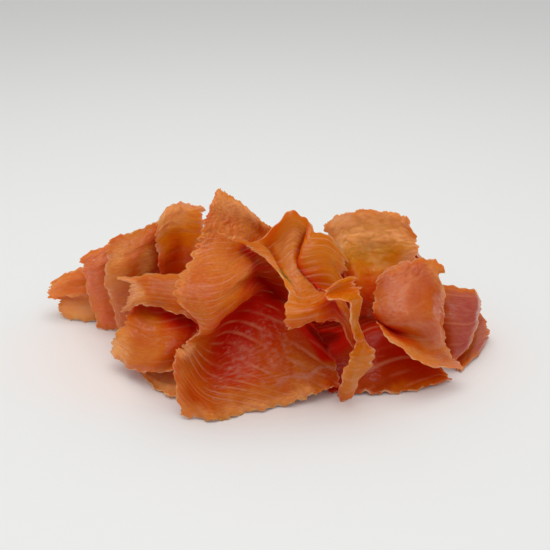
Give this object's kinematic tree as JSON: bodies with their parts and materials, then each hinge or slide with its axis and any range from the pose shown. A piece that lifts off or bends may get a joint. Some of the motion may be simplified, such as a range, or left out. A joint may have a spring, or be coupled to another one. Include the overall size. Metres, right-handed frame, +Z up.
{
  "type": "smoked salmon slices",
  "caption": "A loose heap of thin smoked salmon slices, folded and curled over one another as they fall.",
  "frame": {"origin": "centre of the heap's footprint, on the table", "axes": "+X along the heap to its right end, +Y from its open front to its back, +Z up"},
  "size_m": [0.1702, 0.1039, 0.0623],
  "materials": {
    "orange_flesh": "wet, satin",
    "pink_flesh": "wet, satin",
    "amber_flesh": "wet, satin",
    "deep_flesh": "wet, satin"
  },
  "bodies": {
    "root": {"centre_slice": "orange_flesh", "folded_slice": "orange_flesh", "upright_slice": "amber_flesh", "left_back_slice": "orange_flesh", "pink_left_slice": "pink_flesh", "tail_upper_slice": "orange_flesh", "tail_lower_slice": "amber_flesh", "fin_slice": "orange_flesh", "lower_left_slice": "orange_flesh", "under_left_slice": "pink_flesh", "ribbon_slice": "amber_flesh", "back_lobe_slice": "amber_flesh", "petal_slice": "pink_flesh", "right_base_slice": "deep_flesh", "pink_right_slice": "pink_flesh", "pink_end_slice": "deep_flesh", "back_left_slice": "orange_flesh", "back_centre_slice": "orange_flesh", "inner_slice": "deep_flesh", "back_right_slice": "orange_flesh", "side_right_slice": "pink_flesh"}
  },
  "joints": []
}
